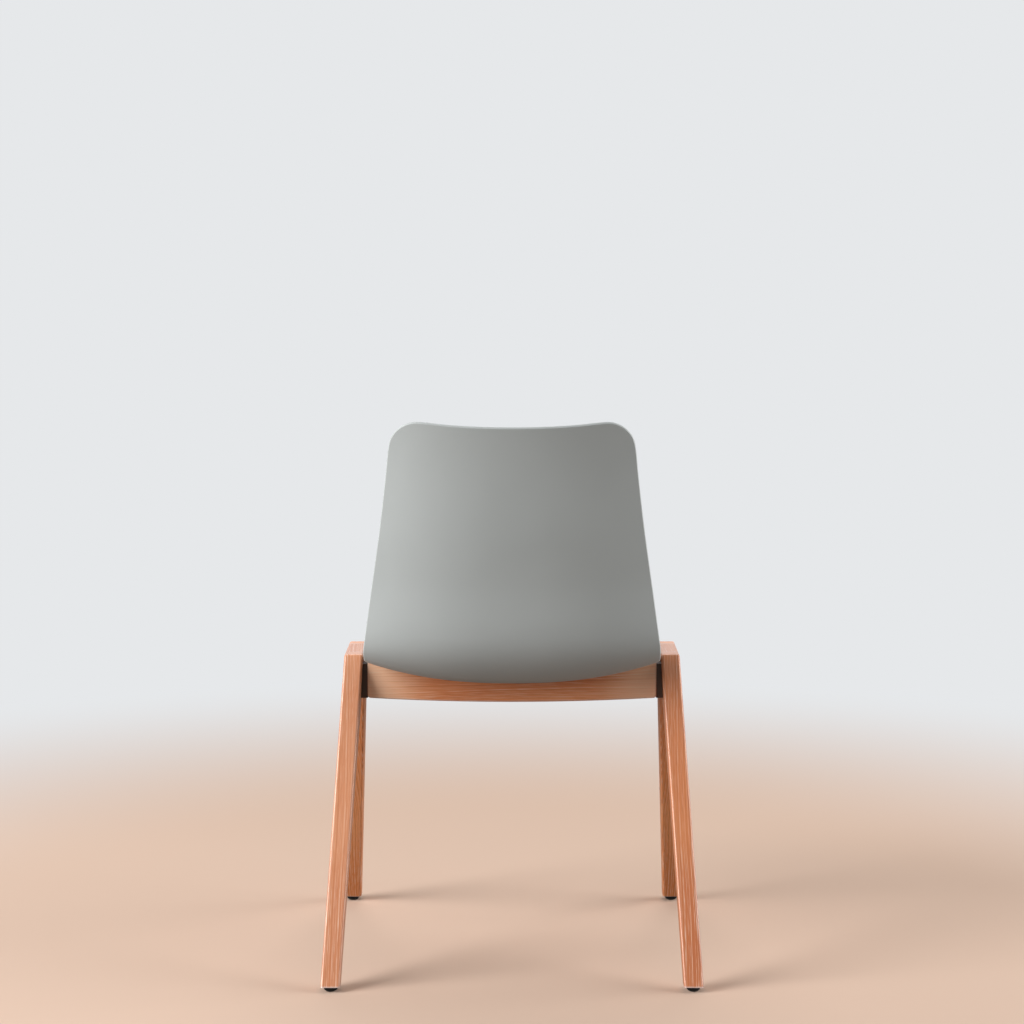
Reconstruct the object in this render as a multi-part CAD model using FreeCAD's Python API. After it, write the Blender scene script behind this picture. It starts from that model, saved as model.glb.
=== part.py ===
import FreeCAD, Part
import math
import os
from FreeCAD import Vector

# Shell chair: a one-piece moulded seat shell on a wooden A-frame base.
# Millimetres, +Z up, the chair faces -Y, +X is the sitter's left,
# origin on the floor in the middle of the four feet.

# Seat shell, measured on the middle of its wall
shell_wall = 5.5
shell_rim_chamfer = 1.6
shell_front_reach = 242.0
shell_low_reach = 110.0
shell_back_reach = 235.0
seat_low_height = 425.2
seat_front_lift = 30.8
seat_front_height = seat_low_height + seat_front_lift
back_rise = 388.3
back_top_height = seat_low_height + back_rise
lip_run = 46.0
lip_drop = 29.0
seat_bend_radius = 60.0
waist_half_width = 218.0
front_narrowing = 14.0
lower_back_narrowing = 8.3
middle_back_narrowing = 24.8
upper_back_narrowing = 38.2
top_narrowing = 46.5
front_edge_rise = 11.0
seat_edge_rise = 34.0
back_edge_wrap = 35.0
top_edge_wrap = 26.0
top_edge_dip = 5.5
front_edge_bow = 12.0
front_corner_radius = 70.0
top_corner_radius = 42.0

# How evenly the shell turns, spreads and curls: powers, and shares of a stretch
seat_fall_power = 1.4
seat_spread_power = 0.35
back_sweep_power = 1.35
edge_curl_power = 2.3
crest_spread_share = 0.4
lip_front_rise_share = 0.3
lip_turn_run_share = 0.28
lip_turn_drop_share = 0.3
lip_turn_rise_share = 0.55
seat_shares = (0.36, 0.72, 1.0)
bend_degrees = (30, 70)
top_dip_share = 0.3
front_bow_share = 0.2

# Mounting bosses under the shell, with brass inserts
boss_radius = 8.0
boss_length = 17.0
boss_half_spacing = 95.0
insert_radius = 4.2
insert_length = 12.0
insert_bore_radius = 2.6

# Side frames, which stand just clear of the shell's waist
shell_side_gap = 5.5
frame_thickness = 28.0
frame_top_half_width = waist_half_width + shell_side_gap + frame_thickness
frame_above_seat = 34.8
frame_height = seat_low_height + frame_above_seat
frame_lean_degrees = 3.07
frame_top_half_length = 63.0
frame_edge_round = 3.5
leg_top_depth = 24.0
top_rail_half_length = frame_top_half_length - leg_top_depth
top_rail_depth = 72.0
top_rail_arch = 14.0
top_rail_chamfer = 2.4
foot_reach = 246.7
foot_depth = 28.0

# Cross rails under the shell
cross_rail_setback = 11.0
cross_rail_reach = top_rail_half_length + cross_rail_setback
cross_rail_thickness = 25.0
cross_rail_under_seat = 37.5
cross_rail_bottom = seat_low_height - cross_rail_under_seat
cross_rail_bow = 6.0
cross_rail_end_height = 56.0
cross_rail_corner_radius = 4.5
cross_rail_chamfer = 1.2
cross_rail_shell_gap = 1.2

# Spacers between cross rails and side frames
spacer_thin_end = 7.2
spacer_setback = 1.5
spacer_top_gap = 4.0

# Foot glides and their nails
glide_radius = 10.5
glide_sole_radius = 5.5
glide_height = 8.0
glide_collar = 2.0
glide_bulge_out_share = 0.72
glide_bulge_up_share = 0.36
nail_head_radius = 3.0
nail_head_height = 1.2
nail_recess = 2.4
nail_radius = 1.1
nail_length = 20.0

# Dowels
joint_dowel_radius = 4.0
joint_dowel_length = 24.0
joint_dowel_top_drop = 14.0
joint_dowel_spacing = 30.0
rail_dowel_radius = 3.0
rail_dowel_length = 36.0
rail_dowel_frame_share = 0.4
rail_dowel_rise = 43.3
rail_dowel_height = cross_rail_bottom + rail_dowel_rise

# Bolts that hold the cross rails
bolt_rise = 14.3
bolt_height = cross_rail_bottom + bolt_rise
bolt_radius = 3.0
bolt_head_radius = 7.0
bolt_head_height = 3.0
bolt_counterbore_depth = 6.0
bolt_past_nut = 1.2
hex_socket_radius = 2.2
hex_socket_depth = 1.8
nut_radius = 5.0
nut_length = 14.0
nut_setback = 30.0

# Screws that hold the shell
screw_radius = 2.4
screw_head_radius = 4.8
screw_head_height = 3.4
screw_head_chamfer = 1.3
screw_grip = 21.0
screw_tip_gap = 1.0
washer_radius = 6.2
washer_height = 1.2

# Clearances
dowel_fit = 0.05
bore_clearance = 0.3
boss_clearance = 0.5

# Room for trimming a piece to its final length, what counts as touching, and fine steps
trim_allowance = 14.0
touch = 0.01
fuse_tolerance = 0.0001
share_step = 0.001
halvings = 40

# Directions and grids
UP = Vector(0, 0, 1)
ACROSS = Vector(1, 0, 0)
LENGTHWISE = Vector(0, 1, 0)
grid_lengthwise = 61
grid_crosswise = 13
rim_side_points = 24
rim_arc_points = 6
rim_end_points = 4
SIDES = (("left", 1), ("right", -1))
ENDS = (("rear", 1), ("front", -1))


def blend(start, end, share):
    return start + (end - start) * share


def seat_stations():
    """Centre line from the front lip to the seat's lowest line: y, height, half width, edge rise."""
    front = -shell_front_reach
    crest = front + lip_run
    fall = seat_front_height - seat_low_height
    front_half = waist_half_width - front_narrowing
    crest_half = blend(front_half, waist_half_width, crest_spread_share)
    lip_height = seat_front_height - lip_drop
    turn_height = seat_front_height - lip_turn_drop_share * lip_drop
    turn_half = (front_half + crest_half) / 2
    stations = [
        (front, lip_height, front_half, lip_front_rise_share * front_edge_rise),
        (front + lip_turn_run_share * lip_run, turn_height, turn_half,
         lip_turn_rise_share * front_edge_rise),
        (crest, seat_front_height, crest_half, front_edge_rise),
    ]
    for share in seat_shares:
        stations.append((
            blend(crest, shell_low_reach, share),
            seat_front_height - fall * share ** seat_fall_power,
            blend(crest_half, waist_half_width, share ** seat_spread_power),
            blend(front_edge_rise, seat_edge_rise, share),
        ))
    return stations


def bend_stations():
    """Round the bend between the seat and the back."""
    stations = []
    for degrees in bend_degrees:
        turn = math.radians(degrees)
        stations.append((
            shell_low_reach + seat_bend_radius * math.sin(turn),
            seat_low_height + seat_bend_radius * (1 - math.cos(turn)),
            waist_half_width,
            blend(seat_edge_rise, back_edge_wrap, degrees / 90),
        ))
    return stations


def back_stations(start_y, start_height):
    """Up the back, which narrows to its top edge."""
    stations = []
    narrowings = (
        (0.2, lower_back_narrowing),
        (0.5, middle_back_narrowing),
        (0.8, upper_back_narrowing),
        (1.0, top_narrowing),
    )
    for share, narrowing in narrowings:
        stations.append((
            blend(start_y, shell_back_reach, share ** back_sweep_power),
            blend(start_height, back_top_height, share),
            waist_half_width - narrowing,
            blend(back_edge_wrap, top_edge_wrap, share ** 2),
        ))
    return stations


def shell_stations():
    stations = seat_stations() + bend_stations()
    end_y, end_height, half, rise = stations[-1]
    return stations + back_stations(end_y, end_height)


def shell_curves():
    """Two curves with one parameter: the centre line, and half width with edge rise."""
    stations = shell_stations()
    places = [Vector(0, y, z) for y, z, half, rise in stations]
    shares = [0.0]
    for here, there in zip(places, places[1:]):
        shares.append(shares[-1] + here.distanceToPoint(there))
    length = shares[-1]
    shares = [share / length for share in shares]
    line = Part.BSplineCurve()
    line.interpolate(Points=places, Parameters=shares)
    spread = Part.BSplineCurve()
    spread.interpolate(Points=[Vector(half, rise, 0) for y, z, half, rise in stations],
                       Parameters=shares)
    return line, spread, length


centre_line, side_spread, centre_length = shell_curves()


def half_width_at(share):
    return side_spread.value(min(max(share, 0.0), 1.0)).x


def wall_middle(share, across):
    """Point on the middle of the wall: share 0 to 1 front to top, across -1 to 1."""
    inside = min(max(share, 0.0), 1.0)
    forward = Vector(centre_line.getD1(inside)[1])
    forward.normalize()
    sitter_side = Vector(0, -forward.z, forward.y)
    spread = side_spread.value(inside)
    near_top = max(inside - 1 + top_dip_share, 0.0) / top_dip_share
    near_front = max(front_bow_share - inside, 0.0) / front_bow_share
    slide = (share - inside) * centre_length
    slide += top_edge_dip * (near_top * across) ** 2
    slide += front_edge_bow * (near_front * across) ** 2
    curl = spread.y * abs(across) ** edge_curl_power
    sideways = ACROSS * (spread.x * across)
    return centre_line.value(inside) + forward * slide + sitter_side * curl + sideways


def wall_point(share, across, offset):
    """Point off the middle of the wall, towards the sitter where offset is positive."""
    step = share_step
    crosswise = wall_middle(share, across + step) - wall_middle(share, across - step)
    lengthwise = wall_middle(share + step, across) - wall_middle(share - step, across)
    outward = crosswise.cross(lengthwise)
    outward.normalize()
    return wall_middle(share, across) + outward * offset


def wall_face(offset, margin):
    """Smooth face through a grid of wall points that runs past the outline by margin."""
    extra_share = margin / centre_length
    extra_across = 1 + margin / waist_half_width
    rows = []
    for row in range(grid_lengthwise):
        share = blend(-extra_share, 1 + extra_share, row / (grid_lengthwise - 1))
        rows.append([wall_point(share, extra_across * (2 * column / (grid_crosswise - 1) - 1), offset)
                     for column in range(grid_crosswise)])
    surface = Part.BSplineSurface()
    surface.interpolate(rows)
    return surface.toShape()


def shell_blank():
    """Closed slab between the two wall faces, larger than the outline all round."""
    margin = 2 * shell_wall
    upper = wall_face(shell_wall / 2, margin)
    lower = wall_face(-shell_wall / 2, margin)
    faces = [upper, lower]
    for edge in upper.Edges:
        partner = min(lower.Edges, key=lambda other: other.CenterOfMass.distanceToPoint(edge.CenterOfMass))
        faces.append(Part.makeRuledSurface(edge, partner))
    skin = Part.makeCompound(faces)
    skin.sewShape()
    return Part.makeSolid(Part.makeShell(skin.Faces))


def outline_half(side, inset):
    """Outline from the middle of the front edge, up one side, to the middle of the top."""
    quarter = math.pi / 2
    front_radius = front_corner_radius - inset
    top_radius = top_corner_radius - inset
    points = []
    for step in range(rim_end_points):
        straight = 1 - front_corner_radius / half_width_at(0)
        points.append((inset / centre_length, straight * step / rim_end_points))
    for step in range(rim_arc_points):
        turn = quarter * step / rim_arc_points
        share = (front_corner_radius - front_radius * math.cos(turn)) / centre_length
        inward = front_corner_radius - front_radius * math.sin(turn)
        points.append((share, 1 - inward / half_width_at(share)))
    for step in range(rim_side_points):
        along = blend(front_corner_radius, centre_length - top_corner_radius, step / rim_side_points)
        share = along / centre_length
        points.append((share, 1 - inset / half_width_at(share)))
    for step in range(rim_arc_points):
        turn = quarter * step / rim_arc_points
        share = 1 - (top_corner_radius - top_radius * math.sin(turn)) / centre_length
        inward = top_corner_radius - top_radius * math.cos(turn)
        points.append((share, 1 - inward / half_width_at(share)))
    for step in range(rim_end_points + 1):
        straight = 1 - top_corner_radius / half_width_at(1)
        points.append((1 - inset / centre_length, straight * (1 - step / rim_end_points)))
    return [(share, side * across) for share, across in points]


def outline_edges(inset, offset):
    """The two halves of the outline, split at the middle of the front and of the top."""
    halves = []
    for side in (1, -1):
        curve = Part.BSplineCurve()
        curve.interpolate(Points=[wall_point(share, across, offset)
                                  for share, across in outline_half(side, inset)])
        halves.append(curve.toShape())
    return halves


def rim_walls():
    """Ruled walls along the outline: square to the shell in the middle, canted at both faces."""
    flat = shell_wall / 2 - shell_rim_chamfer
    beyond = shell_wall / 2 + shell_rim_chamfer
    levels = [
        outline_edges(2 * shell_rim_chamfer, beyond),
        outline_edges(0, flat),
        outline_edges(0, -flat),
        outline_edges(2 * shell_rim_chamfer, -beyond),
    ]
    walls = []
    for upper, lower in zip(levels, levels[1:]):
        for upper_half, lower_half in zip(upper, lower):
            walls.append(Part.makeRuledSurface(upper_half, lower_half))
    return walls


def trimmed_shell():
    """The blank inside the outline, with both rims softened."""
    pieces = shell_blank().generalFuse(rim_walls(), fuse_tolerance)[0].Solids
    probe = wall_middle(0.5, 0)
    return next(piece for piece in pieces if piece.isInside(probe, touch, True))


def share_at(y):
    """Share of the centre line at a given y, which grows along it, by halving."""
    low = 0.0
    high = 1.0
    for halving in range(halvings):
        middle = (low + high) / 2
        if centre_line.value(middle).y < y:
            low = middle
        else:
            high = middle
    return low


def shell_height_at(x, y):
    """Height of the middle of the seat's wall above a point of the base."""
    share = share_at(y)
    return wall_middle(share, x / half_width_at(share)).z


def boss_foot(x, y):
    return shell_height_at(x, y) - boss_length


def boss_places():
    places = []
    for end_name, end in ENDS:
        for side_name, side in SIDES:
            places.append((side * boss_half_spacing, end * cross_rail_reach))
    return places


def seat_shell():
    shell = trimmed_shell()
    for x, y in boss_places():
        foot = boss_foot(x, y)
        body = Part.makeCylinder(boss_radius, boss_length, Vector(x, y, foot))
        hole = Part.makeCylinder(insert_radius + dowel_fit, insert_length, Vector(x, y, foot))
        shell = shell.fuse(body).cut(hole)
    return shell


def shell_inserts():
    """Brass inserts, flush with the foot of each boss."""
    inserts = []
    for x, y in boss_places():
        foot = Vector(x, y, boss_foot(x, y))
        body = Part.makeCylinder(insert_radius, insert_length, foot)
        bore = Part.makeCylinder(insert_bore_radius, insert_length, foot)
        inserts.append(body.cut(bore))
    return Part.makeCompound(inserts)


def shell_screws():
    """Pan-head screws that rise through the cross rails into the inserts."""
    screws = []
    for x, y in boss_places():
        seat = boss_foot(x, y) - screw_grip - washer_height
        head = Part.makeCylinder(screw_head_radius, screw_head_height, Vector(x, y, seat), -UP)
        rim = min(head.Edges, key=lambda edge: edge.CenterOfMass.z)
        head = head.makeChamfer(screw_head_chamfer, [rim])
        socket = Part.makeCylinder(hex_socket_radius, hex_socket_depth,
                                   Vector(x, y, seat - screw_head_height))
        length = washer_height + screw_grip + insert_length - screw_tip_gap
        shank = Part.makeCylinder(screw_radius, length, Vector(x, y, seat))
        screws.append(head.fuse(shank).cut(socket))
    return Part.makeCompound(screws)


def shell_screw_washers():
    washers = []
    for x, y in boss_places():
        under = Vector(x, y, boss_foot(x, y) - screw_grip - washer_height)
        disc = Part.makeCylinder(washer_radius, washer_height, under)
        bore = Part.makeCylinder(screw_radius + bore_clearance, washer_height, under)
        washers.append(disc.cut(bore))
    return Part.makeCompound(washers)


def space_over_rails():
    """Everything above the shell's underside, less the gap that the cross rails keep."""
    skin = wall_face(-shell_wall / 2 - cross_rail_shell_gap, 0)
    return skin.extrude(UP * back_top_height)


def lean(shape):
    """Tip an upright left-hand frame piece outward about its top outer edge."""
    pivot = Vector(frame_top_half_width, 0, frame_height)
    tipped = shape.copy()
    tipped.rotate(pivot, LENGTHWISE, -frame_lean_degrees)
    return tipped


def lean_direction():
    """Direction along the leaning frame's plane, downwards, for the left side."""
    turn = math.radians(frame_lean_degrees)
    return Vector(math.sin(turn), 0, -math.cos(turn))


def frame_inner_x(z):
    """Inner face of the left frame at a height."""
    turn = math.radians(frame_lean_degrees)
    top = frame_top_half_width - frame_thickness / math.cos(turn)
    return top + (frame_height - z) * math.tan(turn)


def frame_outer_x(z):
    return frame_inner_x(z) + frame_thickness / math.cos(math.radians(frame_lean_degrees))


def down_plane(z):
    """Length down the leaning plane, as a height, that ends at a true height."""
    return frame_height - (frame_height - z) / math.cos(math.radians(frame_lean_degrees))


def frame_slab(outline):
    """Upright slab of the frame's thickness from an outline of y and true height."""
    inner = frame_top_half_width - frame_thickness
    corners = [Vector(inner, y, down_plane(z)) for y, z in outline]
    face = Part.Face(Part.makePolygon(corners + corners[:1]))
    return face.extrude(ACROSS * frame_thickness)


def cut_level(shape):
    """Trim a leaning piece level with the frame's top and with the top of the glides."""
    width = 2 * frame_outer_x(0)
    length = 4 * foot_reach
    room = Part.makeBox(2 * width, length, frame_height - glide_height,
                        Vector(-width, -length / 2, glide_height))
    return shape.common(room)


def leg_slope():
    """How far the leg's rear edge runs out per millimetre down."""
    return (foot_reach + foot_depth / 2 - frame_top_half_length) / (frame_height - glide_height)


def rail_underside():
    """Level of the top rail's lower corners, where the legs' inner edges begin to slope."""
    return frame_height - top_rail_depth


def leg(end, side):
    """Tapered leg that runs up past the top rail to the frame's flat top."""
    over = trim_allowance
    slope = leg_slope()
    outer_foot = foot_reach + foot_depth / 2
    inner_foot = foot_reach - foot_depth / 2
    inner_slope = (inner_foot - top_rail_half_length) / (rail_underside() - glide_height)
    blank = lean(frame_slab([
        (frame_top_half_length - slope * over, frame_height + over),
        (outer_foot + slope * over, glide_height - over),
        (inner_foot + inner_slope * over, glide_height - over),
        (top_rail_half_length, rail_underside()),
        (top_rail_half_length, frame_height + over),
    ]))
    shape = cut_level(blank)
    shape = shape.makeFillet(frame_edge_round, free_edges(shape))
    if end < 0:
        shape = shape.mirror(Vector(0, 0, 0), LENGTHWISE)
    if side < 0:
        shape = shape.mirror(Vector(0, 0, 0), ACROSS)
    for bore in frame_bores(side, end) + [nail_bore(side, end)]:
        shape = shape.cut(bore)
    return shape


def free_edges(shape):
    """Edges of a frame piece that are neither at its foot nor where legs meet the top rail."""
    edges = []
    for edge in shape.Edges:
        box = edge.BoundBox
        at_foot = box.ZMax < glide_height + touch
        at_joint = box.YLength < touch and abs(abs(edge.CenterOfMass.y) - top_rail_half_length) < touch
        if not (at_foot or at_joint):
            edges.append(edge)
    return edges


def top_rail(side):
    """Short rail between the two legs, flat on top and arched underneath."""
    inner = frame_top_half_width - frame_thickness
    half = top_rail_half_length
    low = down_plane(rail_underside())
    crown = down_plane(rail_underside() + top_rail_arch)
    high = frame_height + trim_allowance
    arch = Part.Arc(Vector(inner, -half, low), Vector(inner, 0, crown), Vector(inner, half, low))
    rest = Part.makePolygon([
        Vector(inner, half, low),
        Vector(inner, half, high),
        Vector(inner, -half, high),
        Vector(inner, -half, low),
    ])
    face = Part.Face(Part.Wire([arch.toShape()] + rest.Edges))
    shape = cut_level(lean(face.extrude(ACROSS * frame_thickness)))
    arch_top = rail_underside() + top_rail_arch
    arch_edges = [edge for edge in free_edges(shape) if edge.CenterOfMass.z < arch_top]
    shape = shape.makeChamfer(top_rail_chamfer, arch_edges)
    top_edges = [edge for edge in free_edges(shape) if edge.BoundBox.ZMin > frame_height - touch]
    shape = shape.makeFillet(frame_edge_round, top_edges)
    if side < 0:
        shape = shape.mirror(Vector(0, 0, 0), ACROSS)
    for end_name, end in ENDS:
        for bore in frame_bores(side, end):
            shape = shape.cut(bore)
    return shape


def joint_dowel_axes(side, end):
    """Foot points of the dowels between a leg and its top rail, on the rail's side."""
    drop = lean_direction()
    points = []
    for number in range(2):
        down = joint_dowel_top_drop + number * joint_dowel_spacing
        start = Vector(frame_top_half_width - frame_thickness / 2, 0, frame_height) + drop * down
        start_y = top_rail_half_length - joint_dowel_length / 2
        points.append(Vector(side * start.x, end * start_y, start.z))
    return points


def joint_dowel_set(side, end, extra):
    return [Part.makeCylinder(joint_dowel_radius + extra, joint_dowel_length, point, LENGTHWISE * end)
            for point in joint_dowel_axes(side, end)]


def rail_dowel(side, end, extra):
    """Dowel that keeps a cross rail from turning on its bolt, part of it in the frame."""
    start = frame_inner_x(rail_dowel_height) - rail_dowel_length * (1 - rail_dowel_frame_share)
    point = Vector(side * start, end * cross_rail_reach, rail_dowel_height)
    return Part.makeCylinder(rail_dowel_radius + extra, rail_dowel_length, point, ACROSS * side)


def cross_rail_half_length():
    """The rail's square end stops short of the leaning frame by the spacer's thin end."""
    end_top = cross_rail_bottom + cross_rail_bow + cross_rail_end_height
    return frame_inner_x(end_top) - spacer_thin_end


def nut_x():
    return cross_rail_half_length() - nut_setback


def bolt_seat_x():
    return frame_outer_x(bolt_height) - bolt_counterbore_depth


def bolt_length():
    return bolt_seat_x() - nut_x() + nut_radius + bolt_past_nut


def bolt_bore(side, end):
    """Clearance hole for a bolt with the counterbore for its head."""
    reach = bolt_length() + bore_clearance
    start = Vector(side * bolt_seat_x(), end * cross_rail_reach, bolt_height)
    hole = Part.makeCylinder(bolt_radius + bore_clearance, reach, start, ACROSS * -side)
    counterbore = Part.makeCylinder(bolt_head_radius + bore_clearance, 2 * bolt_counterbore_depth,
                                    start, ACROSS * side)
    return hole.fuse(counterbore)


def frame_bores(side, end):
    bores = joint_dowel_set(side, end, dowel_fit)
    bores.append(rail_dowel(side, end, dowel_fit))
    bores.append(bolt_bore(side, end))
    return bores


def leg_joint_dowels():
    dowels = []
    for side_name, side in SIDES:
        for end_name, end in ENDS:
            dowels += joint_dowel_set(side, end, 0)
    return Part.makeCompound(dowels)


def rail_dowels():
    return Part.makeCompound([rail_dowel(side, end, 0)
                              for side_name, side in SIDES for end_name, end in ENDS])


def cross_rail_outline(y):
    """Face across the chair: bowed bottom edge, rounded lower corners, square upper ends."""
    half = cross_rail_half_length()
    radius = cross_rail_corner_radius
    low = cross_rail_bottom + cross_rail_bow
    high = low + cross_rail_end_height
    cut_in = radius * (1 - math.sqrt(0.5))
    left_end = Vector(half, y, low + radius)
    left_foot = Vector(half - radius, y, low)
    right_end = Vector(-half, y, low + radius)
    right_foot = Vector(radius - half, y, low)
    bow = Part.Arc(left_foot, Vector(0, y, cross_rail_bottom), right_foot)
    left_corner = Part.Arc(left_end, Vector(half - cut_in, y, low + cut_in), left_foot)
    right_corner = Part.Arc(right_foot, Vector(cut_in - half, y, low + cut_in), right_end)
    rest = Part.makePolygon([right_end, Vector(-half, y, high), Vector(half, y, high), left_end])
    edges = [left_corner.toShape(), bow.toShape(), right_corner.toShape()] + rest.Edges
    return Part.Face(Part.Wire(edges))


def cross_rail(end):
    """Cradle rail: its top follows the shell's underside, its bottom edge is bowed."""
    near = cross_rail_reach - cross_rail_thickness / 2
    shape = cross_rail_outline(near).extrude(LENGTHWISE * cross_rail_thickness)
    corner_top = cross_rail_bottom + cross_rail_bow + cross_rail_corner_radius
    lower_edges = [edge for edge in shape.Edges
                   if edge.BoundBox.YLength < touch and edge.BoundBox.ZMax < corner_top + touch]
    shape = shape.makeChamfer(cross_rail_chamfer, lower_edges)
    if end < 0:
        shape = shape.mirror(Vector(0, 0, 0), LENGTHWISE)
    shape = shape.cut(space_over_rails())
    for bore in cross_rail_bores(end):
        shape = shape.cut(bore)
    return shape


def cross_rail_bores(end):
    """Pockets for the bosses, screw holes from below, and holes for bolts, nuts and dowels."""
    bores = []
    low = cross_rail_bottom - bore_clearance
    for x, y in boss_places():
        if y * end < 0:
            continue
        foot = boss_foot(x, y)
        seat = foot - screw_grip - washer_height
        bores.append(Part.makeCylinder(boss_radius + boss_clearance, 2 * boss_length, Vector(x, y, foot)))
        bores.append(Part.makeCylinder(screw_radius + bore_clearance, foot - low, Vector(x, y, low)))
        bores.append(Part.makeCylinder(washer_radius + bore_clearance, seat + washer_height - low,
                                       Vector(x, y, low)))
    for side_name, side in SIDES:
        bores.append(bolt_bore(side, end))
        bores.append(rail_dowel(side, end, dowel_fit))
        foot = Vector(side * nut_x(), end * cross_rail_reach, low)
        height = bolt_height + nut_length / 2 - low
        bores.append(Part.makeCylinder(nut_radius + dowel_fit, height, foot))
    return bores


def barrel_nuts():
    """Upright barrel nuts inside the cross rails, bored across for the bolts."""
    nuts = []
    for side_name, side in SIDES:
        for end_name, end in ENDS:
            y = end * cross_rail_reach
            body = Part.makeCylinder(nut_radius, nut_length,
                                     Vector(side * nut_x(), y, bolt_height - nut_length / 2))
            bore = Part.makeCylinder(bolt_radius + dowel_fit, 4 * nut_radius,
                                     Vector(side * nut_x() - 2 * nut_radius, y, bolt_height), ACROSS)
            nuts.append(body.cut(bore))
    return Part.makeCompound(nuts)


def cross_rail_bolts():
    """Flat-headed bolts sunk in the frames' outer faces."""
    bolts = []
    for side_name, side in SIDES:
        for end_name, end in ENDS:
            seat = Vector(side * bolt_seat_x(), end * cross_rail_reach, bolt_height)
            outward = ACROSS * side
            head = Part.makeCylinder(bolt_head_radius, bolt_head_height, seat, outward)
            shank = Part.makeCylinder(bolt_radius, bolt_length(), seat, -outward)
            socket = Part.makeCylinder(hex_socket_radius, hex_socket_depth,
                                       seat + outward * bolt_head_height, -outward)
            bolts.append(head.fuse(shank).cut(socket))
    return Part.makeCompound(bolts)


def rail_end_spacer(side, end):
    """Wedge that fills the gap between a cross rail's square end and the leaning frame."""
    low = cross_rail_bottom + cross_rail_bow
    high = low + cross_rail_end_height - spacer_top_gap
    near = cross_rail_reach - cross_rail_thickness / 2 + spacer_setback
    outline = [
        Vector(cross_rail_half_length(), near, low),
        Vector(frame_inner_x(low), near, low),
        Vector(frame_inner_x(high), near, high),
        Vector(cross_rail_half_length(), near, high),
    ]
    face = Part.Face(Part.makePolygon(outline + outline[:1]))
    shape = face.extrude(LENGTHWISE * (cross_rail_thickness - 2 * spacer_setback))
    if end < 0:
        shape = shape.mirror(Vector(0, 0, 0), LENGTHWISE)
    if side < 0:
        shape = shape.mirror(Vector(0, 0, 0), ACROSS)
    shape = shape.cut(space_over_rails())
    shape = shape.cut(bolt_bore(side, end))
    return shape.cut(rail_dowel(side, end, dowel_fit))


def foot_place(side, end):
    middle = (frame_inner_x(glide_height) + frame_outer_x(glide_height)) / 2
    return Vector(side * middle, end * foot_reach, 0)


def foot_glide(side, end):
    """Domed glide with a short collar, a flat sole and a recess for its nail."""
    shoulder = glide_height - glide_collar
    shoulder_point = Vector(glide_radius, 0, shoulder)
    sole_point = Vector(glide_sole_radius, 0, 0)
    bulge_x = blend(glide_sole_radius, glide_radius, glide_bulge_out_share)
    bulge = Vector(bulge_x, 0, glide_bulge_up_share * shoulder)
    dome = Part.Arc(sole_point, bulge, shoulder_point)
    rest = Part.makePolygon([
        shoulder_point,
        Vector(glide_radius, 0, glide_height),
        Vector(nail_radius + dowel_fit, 0, glide_height),
        Vector(nail_radius + dowel_fit, 0, nail_recess),
        Vector(nail_head_radius + dowel_fit, 0, nail_recess),
        Vector(nail_head_radius + dowel_fit, 0, 0),
        sole_point,
    ])
    face = Part.Face(Part.Wire([dome.toShape()] + rest.Edges))
    shape = face.revolve(Vector(0, 0, 0), UP, 360)
    shape.translate(foot_place(side, end))
    return shape


def foot_glides():
    return Part.makeCompound([foot_glide(side, end)
                              for side_name, side in SIDES for end_name, end in ENDS])


def nail_bore(side, end):
    """Hole for a nail, up from the recess under its glide into the leg."""
    start = foot_place(side, end) + UP * nail_recess
    return Part.makeCylinder(nail_radius + dowel_fit, nail_length + bore_clearance, start)


def glide_nails():
    nails = []
    for side_name, side in SIDES:
        for end_name, end in ENDS:
            seat = foot_place(side, end) + UP * nail_recess
            head = Part.makeCylinder(nail_head_radius, nail_head_height, seat, -UP)
            shank = Part.makeCylinder(nail_radius, nail_length, seat)
            nails.append(head.fuse(shank))
    return Part.makeCompound(nails)


def pieces():
    """Every node of the chair with its shape."""
    nodes = {
        "seat_shell": seat_shell(),
        "shell_inserts": shell_inserts(),
        "shell_screws": shell_screws(),
        "shell_screw_washers": shell_screw_washers(),
        "leg_joint_dowels": leg_joint_dowels(),
        "rail_dowels": rail_dowels(),
        "cross_rail_bolts": cross_rail_bolts(),
        "barrel_nuts": barrel_nuts(),
        "foot_glides": foot_glides(),
        "glide_nails": glide_nails(),
    }
    for end_name, end in ENDS:
        nodes[end_name + "_cross_rail"] = cross_rail(end)
    for side_name, side in SIDES:
        nodes["top_rail_" + side_name] = top_rail(side)
        for end_name, end in ENDS:
            nodes[end_name + "_leg_" + side_name] = leg(end, side)
            nodes["rail_end_spacer_" + end_name + "_" + side_name] = rail_end_spacer(side, end)
    return nodes


def main():
    os.makedirs("parts", exist_ok=True)
    for name, shape in pieces().items():
        print(name, len(shape.Solids), round(shape.Volume / 1000, 2), shape.isValid())
        shape.exportStep("parts/" + name + ".step")


main()
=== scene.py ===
import math

import bpy
from mathutils import Matrix, Vector


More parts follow.
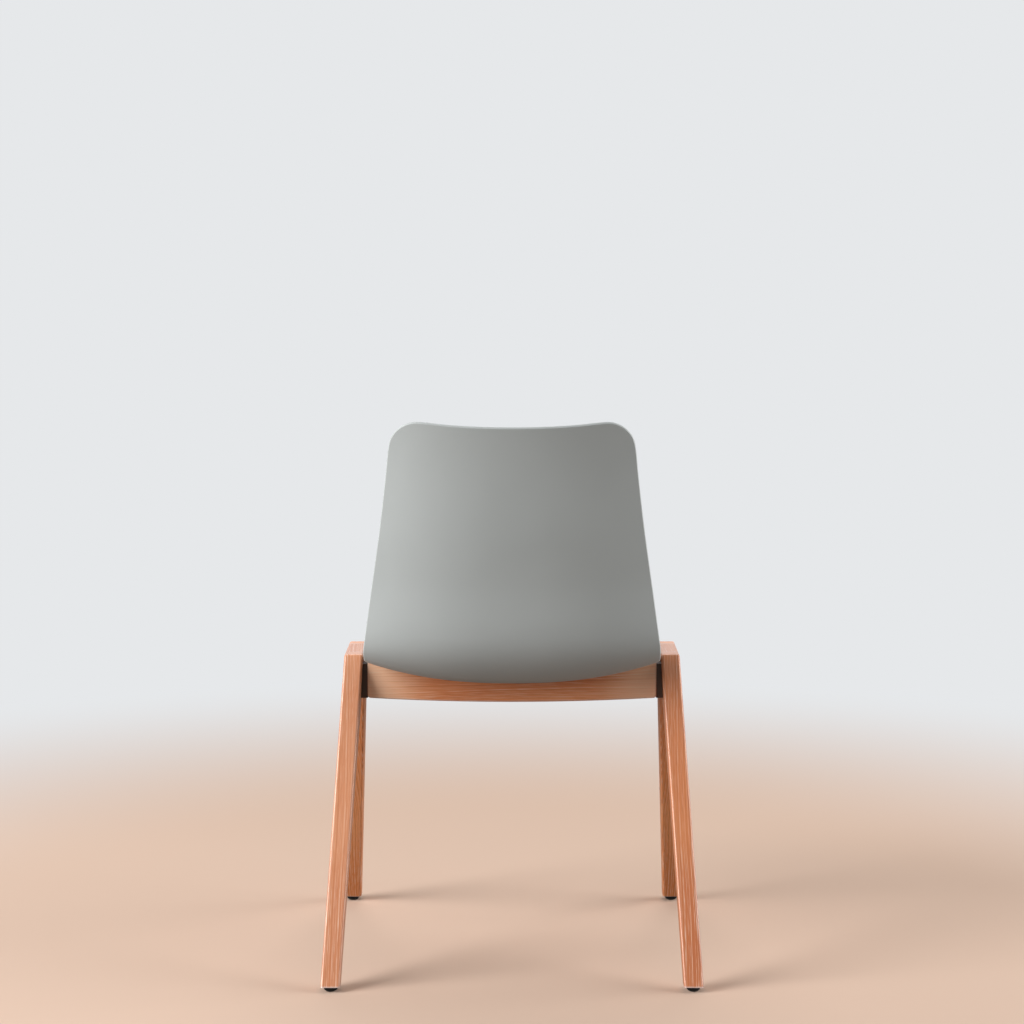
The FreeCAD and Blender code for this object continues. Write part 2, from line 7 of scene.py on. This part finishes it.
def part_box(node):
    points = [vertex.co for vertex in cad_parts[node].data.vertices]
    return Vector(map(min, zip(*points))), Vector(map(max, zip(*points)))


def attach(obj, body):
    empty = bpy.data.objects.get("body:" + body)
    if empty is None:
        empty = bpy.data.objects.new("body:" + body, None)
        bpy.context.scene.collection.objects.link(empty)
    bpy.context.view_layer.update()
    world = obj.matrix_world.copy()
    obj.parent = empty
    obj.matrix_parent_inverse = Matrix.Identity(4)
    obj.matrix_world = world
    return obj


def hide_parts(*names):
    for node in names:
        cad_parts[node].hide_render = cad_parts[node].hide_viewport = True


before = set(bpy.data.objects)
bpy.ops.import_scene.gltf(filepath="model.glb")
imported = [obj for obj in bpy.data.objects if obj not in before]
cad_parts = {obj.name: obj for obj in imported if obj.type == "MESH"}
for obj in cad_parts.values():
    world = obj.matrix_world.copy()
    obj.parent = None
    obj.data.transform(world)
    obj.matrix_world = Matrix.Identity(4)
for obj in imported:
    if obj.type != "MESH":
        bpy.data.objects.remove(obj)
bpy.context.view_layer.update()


def linear(hex_colour):
    """An sRGB hex colour as linear red, green, blue and opacity."""
    channels = [int(hex_colour[i:i + 2], 16) / 255 for i in (1, 3, 5)]
    return [c / 12.92 if c <= 0.04045 else ((c + 0.055) / 1.055) ** 2.4 for c in channels] + [1.0]


def add_node(tree, kind, inputs=None, **settings):
    """One node with its settings and links: an input takes a value or another node's output."""
    node = tree.nodes.new("ShaderNode" + kind)
    for name, value in settings.items():
        setattr(node, name, value)
    for socket, value in (inputs or {}).items():
        if isinstance(value, bpy.types.NodeSocket):
            tree.links.new(value, node.inputs[socket])
        else:
            node.inputs[socket].default_value = value
    return node


def new_material(name):
    """An empty material with its surface output, for a finish to be built in."""
    material = bpy.data.materials.new(name)
    material.use_nodes = True
    tree = material.node_tree
    tree.nodes.clear()
    return material, tree, add_node(tree, "OutputMaterial")


def surface(tree, output, shader):
    tree.links.new(shader.outputs[0], output.inputs["Surface"])


def finish_node(name, material):
    """Gives a piece of the chair its finish, wherever it had a plain one."""
    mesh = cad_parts[name].data
    if not mesh.materials:
        mesh.materials.append(material)
    for index in range(len(mesh.materials)):
        mesh.materials[index] = material


# The finishes

def moulded_polypropylene():
    """Injection-moulded polypropylene from an eroded mould: a matte grey with a fine even grain."""
    material, tree, output = new_material("moulded_polypropylene")
    place = add_node(tree, "TexCoord").outputs["Object"]
    # The mould's grain is 0.3 mm, too fine to show, so it is drawn at about 2 mm.
    grain = add_node(tree, "TexNoise", {"Vector": place, "Scale": 500.0, "Detail": 3.0, "Roughness": 0.6})
    # Broad, faint clouds are where the melt cooled at different speeds.
    clouds = add_node(tree, "TexNoise", {"Vector": place, "Scale": 6.0, "Detail": 2.0})
    shade = add_node(tree, "MapRange", {"Value": clouds.outputs["Fac"], "From Min": 0.3, "From Max": 0.7})
    colour = add_node(tree, "Mix", {0: shade.outputs[0], 6: linear("#B6BBBA"), 7: linear("#BBC0BF")},
                      data_type="RGBA")
    gloss = add_node(tree, "MapRange", {"Value": grain.outputs["Fac"], "From Min": 0.3, "From Max": 0.7,
                                        "To Min": 0.55, "To Max": 0.65})
    bump = add_node(tree, "Bump", {"Height": grain.outputs["Fac"], "Strength": 0.08, "Distance": 0.0004})
    shader = add_node(tree, "BsdfPrincipled", {
        "Base Color": colour.outputs[2], "Roughness": gloss.outputs[0], "IOR": 1.49,
        "Normal": bump.outputs[0],
    })
    surface(tree, output, shader)
    return material


# Oak, in metres: how far apart growth rings stand, how much that varies, how far they wave, and
# how wide the painted highlight on an arris is. Then the shares of a year at which the porous
# wood fades, and at which the smooth, pale wood lies and how far it spreads.
RING_SPACING = 0.0021
RING_VARIATION = 0.006
RING_WAVE = 0.008
ARRIS = 0.004
POROUS_UNTIL = (0.05, 0.45)
PALE_AT = 0.68
PALE_SPREAD = 0.26


def board_space(tree, middle, along, aside):
    """Coordinates in a board: across it, through it, and along its grain."""
    along = along.normalized()
    across = (aside - along * aside.dot(along)).normalized()
    turn = Matrix((across, along.cross(across), along)).transposed().to_euler()
    place = add_node(tree, "TexCoord").outputs["Object"]
    return add_node(tree, "Mapping", {"Vector": place, "Location": middle, "Rotation": turn},
                    vector_type="TEXTURE").outputs[0]


def distance_from_pith(tree, split, wave, pith, tilt):
    """How far the wood grew from the trunk's pith, which lies beside the board and runs a little
    askew to it. The trunk waves by some millimetres, and some years are wider than others."""
    sway = add_node(tree, "MapRange", {"Value": wave, "To Min": -RING_WAVE, "To Max": RING_WAVE},
                    clamp=False).outputs[0]
    tapered = add_node(tree, "Math", {0: split.outputs[2], 1: tilt, 2: -pith[0]}, operation="MULTIPLY_ADD")
    run_x = add_node(tree, "Math", {0: split.outputs[0], 1: tapered.outputs[0]}, operation="ADD")
    run_y = add_node(tree, "Math", {0: split.outputs[1], 1: -pith[1]}, operation="ADD")
    flat = add_node(tree, "CombineXYZ", {0: run_x.outputs[0], 1: run_y.outputs[0], 2: 0.0})
    radius = add_node(tree, "VectorMath", {0: flat.outputs[0]}, operation="LENGTH").outputs["Value"]
    grown = add_node(tree, "Math", {0: radius, 1: sway}, operation="ADD").outputs[0]
    years = add_node(tree, "TexNoise", {"W": grown, "Scale": 130.0, "Detail": 2.0},
                     noise_dimensions="1D").outputs["Fac"]
    return add_node(tree, "Math", {0: years, 1: RING_VARIATION, 2: grown},
                    operation="MULTIPLY_ADD").outputs[0]


def growth_rings(tree, grown):
    """Where the porous early wood and the smooth, pale late wood of each year lie."""
    rings = add_node(tree, "Math", {0: grown, 1: 1 / RING_SPACING}, operation="MULTIPLY").outputs[0]
    season = add_node(tree, "Math", {0: rings}, operation="FRACT").outputs[0]
    early = add_node(tree, "MapRange", {"Value": season, "From Min": POROUS_UNTIL[0],
                                        "From Max": POROUS_UNTIL[1], "To Min": 1.0, "To Max": 0.0},
                     interpolation_type="SMOOTHSTEP").outputs[0]
    offset = add_node(tree, "Math", {0: season, 1: PALE_AT}, operation="SUBTRACT").outputs[0]
    away = add_node(tree, "Math", {0: offset}, operation="ABSOLUTE").outputs[0]
    late = add_node(tree, "MapRange", {"Value": away, "From Max": PALE_SPREAD, "To Min": 1.0,
                                       "To Max": 0.0}, interpolation_type="SMOOTHSTEP").outputs[0]
    return early, late


def painted_arris_highlights(tree):
    """Painted highlights: rounded arrises, where the surface turns within an arris's width, are
    drawn paler, as edges that catch the light."""
    rounded = add_node(tree, "Bevel", {"Radius": ARRIS}, samples=6).outputs[0]
    straight = add_node(tree, "NewGeometry").outputs["Normal"]
    alike = add_node(tree, "VectorMath", {0: rounded, 1: straight}, operation="DOT_PRODUCT").outputs["Value"]
    return add_node(tree, "MapRange", {"Value": alike, "From Min": 0.995, "From Max": 0.88,
                                       "To Max": 0.65}).outputs[0]


def lacquered_oak(name, middle, along, aside, pith, tilt, heart, plain, pale=0.0, painted_light_ends=None):
    """Planed oak under a thin satin lacquer: growth rings, open pores as short dark dashes along
    the grain, and pale broken lines between them, so that it looks finely striped and slightly
    silky. Heart and plain are the board's two main colours. Some boards are painted paler all
    over, a painted sheen, and some paler between two distances from their middle, painted light
    on a cross rail's ends."""
    material, tree, output = new_material(name)
    board = board_space(tree, middle, along, aside)
    stretched = add_node(tree, "Mapping", {"Vector": board, "Scale": (14.0, 14.0, 2.5)}).outputs[0]
    wave = add_node(tree, "TexNoise", {"Vector": stretched, "Scale": 1.0, "Detail": 2.0,
                                       "Roughness": 0.45}).outputs["Fac"]
    split = add_node(tree, "SeparateXYZ", {0: board})
    early, late = growth_rings(tree, distance_from_pith(tree, split, wave, pith, tilt))

    # The board's own colour drifts between its two main colours, and towards a pale colour that is painted
    # light: a sheen over a whole board, and lighter ends on a cross rail.
    patches = add_node(tree, "TexNoise", {"Vector": stretched, "Scale": 2.3, "Detail": 3.0}).outputs["Fac"]
    body = add_node(tree, "MapRange", {"Value": patches, "From Min": 0.3, "From Max": 0.7}).outputs[0]
    wood = add_node(tree, "Mix", {0: body, 6: linear(plain), 7: linear(heart)}, data_type="RGBA").outputs[2]
    painted_paleness = pale
    # Painted light: a cross rail is drawn paler towards its ends.
    if painted_light_ends:
        reach = add_node(tree, "Math", {0: split.outputs[2]}, operation="ABSOLUTE").outputs[0]
        painted_paleness = add_node(tree, "MapRange", {"Value": reach, "From Min": painted_light_ends[0],
                                               "From Max": painted_light_ends[1], "To Max": 1.0},
                            interpolation_type="SMOOTHSTEP").outputs[0]
    wood = add_node(tree, "Mix", {0: painted_paleness, 6: wood, 7: linear("#FFCDA8")}, data_type="RGBA").outputs[2]

    # Pores are 0.3 mm wide, too fine to show, so their streaks are drawn 1 mm wide and 25 mm long.
    thin = add_node(tree, "Mapping", {"Vector": board, "Scale": (900.0, 900.0, 30.0)}).outputs[0]
    streaks = add_node(tree, "TexNoise", {"Vector": thin, "Scale": 1.0, "Detail": 3.0,
                                          "Roughness": 0.6}).outputs["Fac"]

    # The pale late wood shows more in some lengths than in others, and the streaks break it.
    shown = add_node(tree, "MapRange", {"Value": wave, "From Min": 0.35, "From Max": 0.65,
                                        "To Min": 0.3, "To Max": 0.85}).outputs[0]
    broken = add_node(tree, "MapRange", {"Value": streaks, "From Min": 0.62, "From Max": 0.38}).outputs[0]
    shown = add_node(tree, "Math", {0: shown, 1: broken}, operation="MULTIPLY").outputs[0]
    silky = add_node(tree, "Math", {0: late, 1: shown}, operation="MULTIPLY").outputs[0]
    rayed = add_node(tree, "Mix", {0: silky, 6: wood, 7: linear("#F7D3BB")}, data_type="RGBA").outputs[2]

    # The early wood is darker and holds most of the pores. Both hardly show where the wood is painted pale.
    marked = add_node(tree, "MapRange", {"Value": painted_paleness, "To Min": 1.0, "To Max": 0.3}).outputs[0]
    ringed = add_node(tree, "Math", {0: early, 1: 0.45}, operation="MULTIPLY").outputs[0]
    ringed = add_node(tree, "Math", {0: ringed, 1: marked}, operation="MULTIPLY").outputs[0]
    lined = add_node(tree, "Mix", {0: ringed, 6: rayed, 7: linear("#C4703F")}, data_type="RGBA").outputs[2]
    pores = add_node(tree, "MapRange", {"Value": streaks, "From Min": 0.5, "From Max": 0.68}).outputs[0]
    pored = add_node(tree, "Math", {0: early, 1: 0.35, 2: 0.15}, operation="MULTIPLY_ADD").outputs[0]
    porous = add_node(tree, "Math", {0: pores, 1: pored}, operation="MULTIPLY").outputs[0]
    porous = add_node(tree, "Math", {0: porous, 1: marked}, operation="MULTIPLY").outputs[0]
    colour = add_node(tree, "Mix", {0: porous, 6: lined, 7: linear("#9C5A33")}, data_type="RGBA").outputs[2]
    # Painted highlight: the rounded arrises are drawn pale.
    colour = add_node(tree, "Mix", {0: painted_arris_highlights(tree), 6: colour, 7: linear("#DDD0CB")},
                      data_type="RGBA").outputs[2]

    # Pores stay open under the lacquer: a little rougher, and sunk by a fraction of a millimetre.
    gloss = add_node(tree, "MapRange", {"Value": porous, "To Min": 0.45, "To Max": 0.6}).outputs[0]
    height = add_node(tree, "Math", {0: porous, 1: -1.0}, operation="MULTIPLY").outputs[0]
    bump = add_node(tree, "Bump", {"Height": height, "Strength": 0.3, "Distance": 0.0003}).outputs[0]
    shader = add_node(tree, "BsdfPrincipled", {
        "Base Color": colour, "Roughness": gloss, "IOR": 1.5, "Normal": bump,
        "Coat Weight": 0.6, "Coat Roughness": 0.25, "Coat IOR": 1.5,
    })
    surface(tree, output, shader)
    return material


def turned_beech():
    """Fluted beech dowel, unfinished: pale and dry with short flecks along the grain."""
    material, tree, output = new_material("turned_beech")
    place = add_node(tree, "TexCoord").outputs["Object"]
    # Beech flecks are 0.5 mm wide and 3 mm long.
    flecks = add_node(tree, "TexNoise", {"Vector": place, "Scale": 900.0, "Detail": 2.0})
    colour = add_node(tree, "Mix", {0: flecks.outputs["Fac"], 6: linear("#E0BE97"), 7: linear("#C99F75")},
                      data_type="RGBA")
    shader = add_node(tree, "BsdfPrincipled", {"Base Color": colour.outputs[2], "Roughness": 0.75})
    surface(tree, output, shader)
    return material


def zinc_plated_steel():
    """Cold-headed steel with bright zinc: grey, a little cloudy, softly shiny."""
    material, tree, output = new_material("zinc_plated_steel")
    place = add_node(tree, "TexCoord").outputs["Object"]
    # The plating's crystals are under a millimetre, drawn at 1 mm.
    bloom = add_node(tree, "TexNoise", {"Vector": place, "Scale": 1000.0, "Detail": 2.0})
    colour = add_node(tree, "Mix", {0: bloom.outputs["Fac"], 6: linear("#C3C6C8"), 7: linear("#A9ADB0")},
                      data_type="RGBA")
    gloss = add_node(tree, "MapRange", {"Value": bloom.outputs["Fac"], "To Min": 0.25, "To Max": 0.42})
    shader = add_node(tree, "BsdfPrincipled", {
        "Base Color": colour.outputs[2], "Metallic": 1.0, "Roughness": gloss.outputs[0],
    })
    surface(tree, output, shader)
    return material


def turned_brass():
    """Turned brass, bright with faint tool marks."""
    material, tree, output = new_material("turned_brass")
    place = add_node(tree, "TexCoord").outputs["Object"]
    # Tool marks are 0.2 mm apart, drawn at 0.8 mm.
    marks = add_node(tree, "TexWave", {"Vector": place, "Scale": 400.0, "Distortion": 0.4},
                     bands_direction="Z")
    colour = add_node(tree, "Mix", {0: marks.outputs["Fac"], 6: linear("#D9B25F"), 7: linear("#C79C46")},
                      data_type="RGBA")
    shader = add_node(tree, "BsdfPrincipled", {
        "Base Color": colour.outputs[2], "Metallic": 1.0, "Roughness": 0.3,
    })
    surface(tree, output, shader)
    return material


def near_black_spacer_finish():
    """The spacer blocks' finish: dull and near black, with a trace of grain across the chair."""
    material, tree, output = new_material("near_black_spacer_finish")
    place = add_node(tree, "TexCoord").outputs["Object"]
    fibres = add_node(tree, "Mapping", {"Vector": place, "Scale": (60.0, 700.0, 700.0)})
    grain = add_node(tree, "TexNoise", {"Vector": fibres.outputs[0], "Scale": 1.0, "Detail": 3.0})
    colour = add_node(tree, "Mix", {0: grain.outputs["Fac"], 6: linear("#38271C"), 7: linear("#4C3729")},
                      data_type="RGBA")
    shader = add_node(tree, "BsdfPrincipled", {"Base Color": colour.outputs[2], "Roughness": 0.6})
    surface(tree, output, shader)
    return material


def moulded_polyamide():
    """Moulded black polyamide: satin, scuffed grey by the floor towards its sole."""
    material, tree, output = new_material("moulded_polyamide")
    place = add_node(tree, "TexCoord").outputs["Object"]
    scuffs = add_node(tree, "TexNoise", {"Vector": place, "Scale": 700.0, "Detail": 4.0})
    height = add_node(tree, "SeparateXYZ", {0: place}).outputs[2]
    near_floor = add_node(tree, "MapRange", {"Value": height, "From Min": 0.0, "From Max": 0.004,
                                             "To Min": 1.0, "To Max": 0.0}).outputs[0]
    worn = add_node(tree, "Math", {0: scuffs.outputs["Fac"], 1: near_floor}, operation="MULTIPLY").outputs[0]
    colour = add_node(tree, "Mix", {0: worn, 6: linear("#1B1B1C"), 7: linear("#55534F")}, data_type="RGBA")
    gloss = add_node(tree, "MapRange", {"Value": worn, "To Min": 0.38, "To Max": 0.7})
    shader = add_node(tree, "BsdfPrincipled", {
        "Base Color": colour.outputs[2], "Roughness": gloss.outputs[0], "IOR": 1.53,
    })
    surface(tree, output, shader)
    return material


# The chair

# The bend between seat and back, in metres: the heights of its lowest line, of its top and of the
# back's top edge, how far its foot moves forward and its top moves out, and the depths between
# which the seat goes from held to free.
BEND_LOW = 0.422
BEND_TOP = 0.56
BACK_TOP = 0.82
BEND_FORWARD = 0.018
BACK_OUT = 0.012
SEAT_HELD = 0.058
BEND_FREE = 0.135


def ease(share):
    """From 0 to 1 with a level start and end."""
    share = min(max(share, 0.0), 1.0)
    return share * share * (3 - 2 * share)


def bend_shift(depth, height):
    """How far forward the wall moves at this depth and height for a longer, softer bend."""
    if height < BEND_TOP:
        drop = min((BEND_TOP - height) / (BEND_TOP - BEND_LOW), 1.0)
        shift = (BEND_FORWARD + BACK_OUT) * drop ** 2 - BACK_OUT
    else:
        shift = -BACK_OUT * (1 - ease((height - BEND_TOP) / (BACK_TOP - BEND_TOP)))
    return shift * ease((depth - SEAT_HELD) / (BEND_FREE - SEAT_HELD))


def bent_normal(normal, depth, height):
    """The wall's normal once it has moved, from how the shift changes around it."""
    step = 0.0001
    in_depth = (bend_shift(depth + step, height) - bend_shift(depth - step, height)) / (2 * step)
    in_height = (bend_shift(depth, height + step) - bend_shift(depth, height - step)) / (2 * step)
    across = normal.y / (1 - in_depth)
    return Vector((normal.x, across, normal.z + across * in_height)).normalized()


def moulded_shell():
    """The seat and back shell with a longer, softer bend between them. Both walls move together, so
    the moulding keeps its thickness, and the seat over the cross rails stays where it is."""
    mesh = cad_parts["seat_shell"].data.copy()
    mesh.name = "moulded_shell"
    normals = []
    for loop, corner in zip(mesh.loops, mesh.corner_normals):
        place = mesh.vertices[loop.vertex_index].co
        normals.append(bent_normal(corner.vector, place.y, place.z))
    for vertex in mesh.vertices:
        vertex.co.y -= bend_shift(vertex.co.y, vertex.co.z)
    mesh.normals_split_custom_set(normals)
    mesh.materials.clear()
    mesh.materials.append(moulded_polypropylene())
    shell = bpy.data.objects.new("moulded_shell", mesh)
    bpy.context.scene.collection.objects.link(shell)
    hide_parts("seat_shell")
    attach(shell, "root")

moulded_shell()

# How far a leg leans sideways and along the chair as it rises by one.
LEG_SPLAY = math.tan(math.radians(3.07))
LEG_RAKE = 0.433
# Each board's two main colours, which differ a little from board to board. The front legs'
# colours are brightened past the wood's own: painted light on their rear faces.
CROSS_RAIL_BOARD = {"heart": "#DC7F48", "plain": "#EC9A66"}
TOP_RAIL_BOARD = {"heart": "#CB7643", "plain": "#DC8E5F"}
FRONT_LEG_BOARD_PAINTED_LIGHT = {"heart": "#F28F4F", "plain": "#FCA468"}
REAR_LEG_BOARDS = {
    # The left rear leg, on the window side, is painted paler: a painted sheen.
    "left": {"heart": "#CE7A48", "plain": "#DE9263", "pale": 0.12},
    "right": {"heart": "#C86F3A", "plain": "#DC8A54"},
}
# From how far to how far beyond its middle a cross rail is painted paler: painted light on its ends.
CROSS_RAIL_PAINTED_LIGHT_ENDS = (0.11, 0.21)
# The rear legs' grain runs out through their faces, so that it shows slanted lines.
REAR_LEG_TILT = -0.04

for end_name, end in (("rear", 1), ("front", -1)):
    rail = end_name + "_cross_rail"
    low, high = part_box(rail)
    finish_node(rail, lacquered_oak("lacquered_oak_" + rail, (low + high) / 2,
                                    along=Vector((1, 0, 0)), aside=Vector((0, 1, 0)),
                                    pith=(0.05, 0.035 * end), tilt=0.03,
                                    painted_light_ends=CROSS_RAIL_PAINTED_LIGHT_ENDS, **CROSS_RAIL_BOARD))
    for side_name, side in (("left", 1), ("right", -1)):
        leg = end_name + "_leg_" + side_name
        low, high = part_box(leg)
        rear = end_name == "rear"
        board = REAR_LEG_BOARDS[side_name] if rear else FRONT_LEG_BOARD_PAINTED_LIGHT
        finish_node(leg, lacquered_oak("lacquered_oak_" + leg, (low + high) / 2,
                                       along=Vector((-side * LEG_SPLAY, -end * LEG_RAKE, 1)),
                                       aside=Vector((1, 0, 0)), pith=(0.045 * side, 0.05 * end),
                                       tilt=REAR_LEG_TILT * side if rear else 0.0, **board))
for side_name, side in (("left", 1), ("right", -1)):
    rail = "top_rail_" + side_name
    low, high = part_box(rail)
    finish_node(rail, lacquered_oak("lacquered_oak_" + rail, (low + high) / 2,
                                    along=Vector((0, 1, 0)), aside=Vector((1, 0, 0)),
                                    pith=(0.05 * side, 0.03), tilt=0.04, **TOP_RAIL_BOARD))

beech = turned_beech()
zinc = zinc_plated_steel()
polyamide = moulded_polyamide()
finish_node("leg_joint_dowels", beech)
finish_node("rail_dowels", beech)
finish_node("shell_inserts", turned_brass())
for name in ("shell_screws", "shell_screw_washers", "cross_rail_bolts", "barrel_nuts", "glide_nails"):
    finish_node(name, zinc)
spacer_finish = near_black_spacer_finish()
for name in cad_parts:
    if name.startswith("rail_end_spacer"):
        finish_node(name, spacer_finish)
    if name.startswith("foot_glide"):
        finish_node(name, polyamide)


# The stage: a plain pale floor that fades into the pale backdrop, under soft light from a large
# window, a weaker one opposite and a skylight in front

BACKDROP = "#E6E8EA"
FLOOR = "#D8BDAA"
FLOOR_RETURN = "#7A7068"
FLOOR_REACH = 12.0
FLOOR_FADE = (0.85, 2.3)
LIT_POINT = Vector((0.0, 0.0, 0.5))
ROOM_LEVEL = 0.16


def pale_floor():
    """A plain warm floor, which the camera sees fade into the backdrop. It returns less light
    than it shows, so that the underside of the shell stays in shade."""
    material, tree, output = new_material("pale_floor")
    place = add_node(tree, "TexCoord").outputs["Object"]
    distance = add_node(tree, "VectorMath", {0: place}, operation="LENGTH").outputs["Value"]
    fade = add_node(tree, "MapRange", {"Value": distance, "From Min": FLOOR_FADE[0],
                                       "From Max": FLOOR_FADE[1]},
                    interpolation_type="SMOOTHSTEP").outputs[0]
    seen = add_node(tree, "LightPath").outputs["Is Camera Ray"]
    matte = add_node(tree, "BsdfDiffuse", {"Color": linear(FLOOR)})
    air = add_node(tree, "Emission", {"Color": linear(BACKDROP), "Strength": 1.0})
    shown = add_node(tree, "MixShader", {0: fade, 1: matte.outputs[0], 2: air.outputs[0]})
    returned = add_node(tree, "BsdfDiffuse", {"Color": linear(FLOOR_RETURN)})
    mixed = add_node(tree, "MixShader", {0: seen, 1: returned.outputs[0], 2: shown.outputs[0]})
    surface(tree, output, mixed)
    return material


def lay_floor():
    """One flat square, far wider than the view."""
    mesh = bpy.data.meshes.new("studio_floor")
    reach = FLOOR_REACH
    mesh.from_pydata([(-reach, -reach, 0), (reach, -reach, 0), (reach, reach, 0), (-reach, reach, 0)],
                     [], [(0, 1, 2, 3)])
    mesh.materials.append(pale_floor())
    floor = bpy.data.objects.new("studio_floor", mesh)
    bpy.context.scene.collection.objects.link(floor)


def hang_window(name, place, width, height, watts):
    """A large soft white lamp at a place, turned to the chair."""
    lamp = bpy.data.lights.new(name, "AREA")
    lamp.shape = "RECTANGLE"
    lamp.size = width
    lamp.size_y = height
    lamp.energy = watts
    holder = bpy.data.objects.new(name, lamp)
    holder.location = place
    holder.rotation_euler = (LIT_POINT - Vector(place)).to_track_quat("-Z", "Y").to_euler()
    bpy.context.scene.collection.objects.link(holder)


def fill_room(level):
    """The room's light: even on the object, and the pale backdrop to the camera and in gloss."""
    world = bpy.data.worlds.new("studio_room")
    bpy.context.scene.world = world
    world.use_nodes = True
    tree = world.node_tree
    tree.nodes.clear()
    rays = add_node(tree, "LightPath")
    seen = add_node(tree, "Math", {0: rays.outputs["Is Camera Ray"], 1: rays.outputs["Is Glossy Ray"]},
                    operation="MAXIMUM")
    seen = add_node(tree, "Math", {0: seen.outputs[0], 1: rays.outputs["Is Transmission Ray"]},
                    operation="MAXIMUM")
    light = add_node(tree, "Background", {"Color": linear("#FFFFFF"), "Strength": level})
    backdrop = add_node(tree, "Background", {"Color": linear(BACKDROP), "Strength": 1.0})
    mixed = add_node(tree, "MixShader", {0: seen.outputs[0], 1: light.outputs[0], 2: backdrop.outputs[0]})
    output = add_node(tree, "OutputWorld")
    tree.links.new(mixed.outputs[0], output.inputs["Surface"])


CAMERA_PLACE = (0.0, 3.605, 1.056)
CAMERA_PITCH = math.radians(6.14)
CAMERA_LENS = 84.06


def stand_camera():
    """The photograph's view: from behind, at standing height, a few degrees down."""
    lens = bpy.data.cameras.new("studio_camera")
    lens.lens = CAMERA_LENS
    lens.sensor_width = 36.0
    lens.clip_start = 0.05
    lens.clip_end = 60.0
    camera = bpy.data.objects.new("studio_camera", lens)
    camera.location = CAMERA_PLACE
    camera.rotation_euler = (math.radians(90) - CAMERA_PITCH, 0.0, math.pi)
    bpy.context.scene.collection.objects.link(camera)
    bpy.context.scene.camera = camera


lay_floor()
fill_room(ROOM_LEVEL)
hang_window("window", (3.7, 1.6, 1.95), 2.4, 2.8, 250.0)
hang_window("white_wall", (-4.1, 0.0, 1.7), 3.4, 3.2, 175.0)
hang_window("skylight", (0.0, -2.4, 3.3), 2.4, 2.0, 40.0)
stand_camera()
bpy.context.scene.view_settings.view_transform = "Standard"
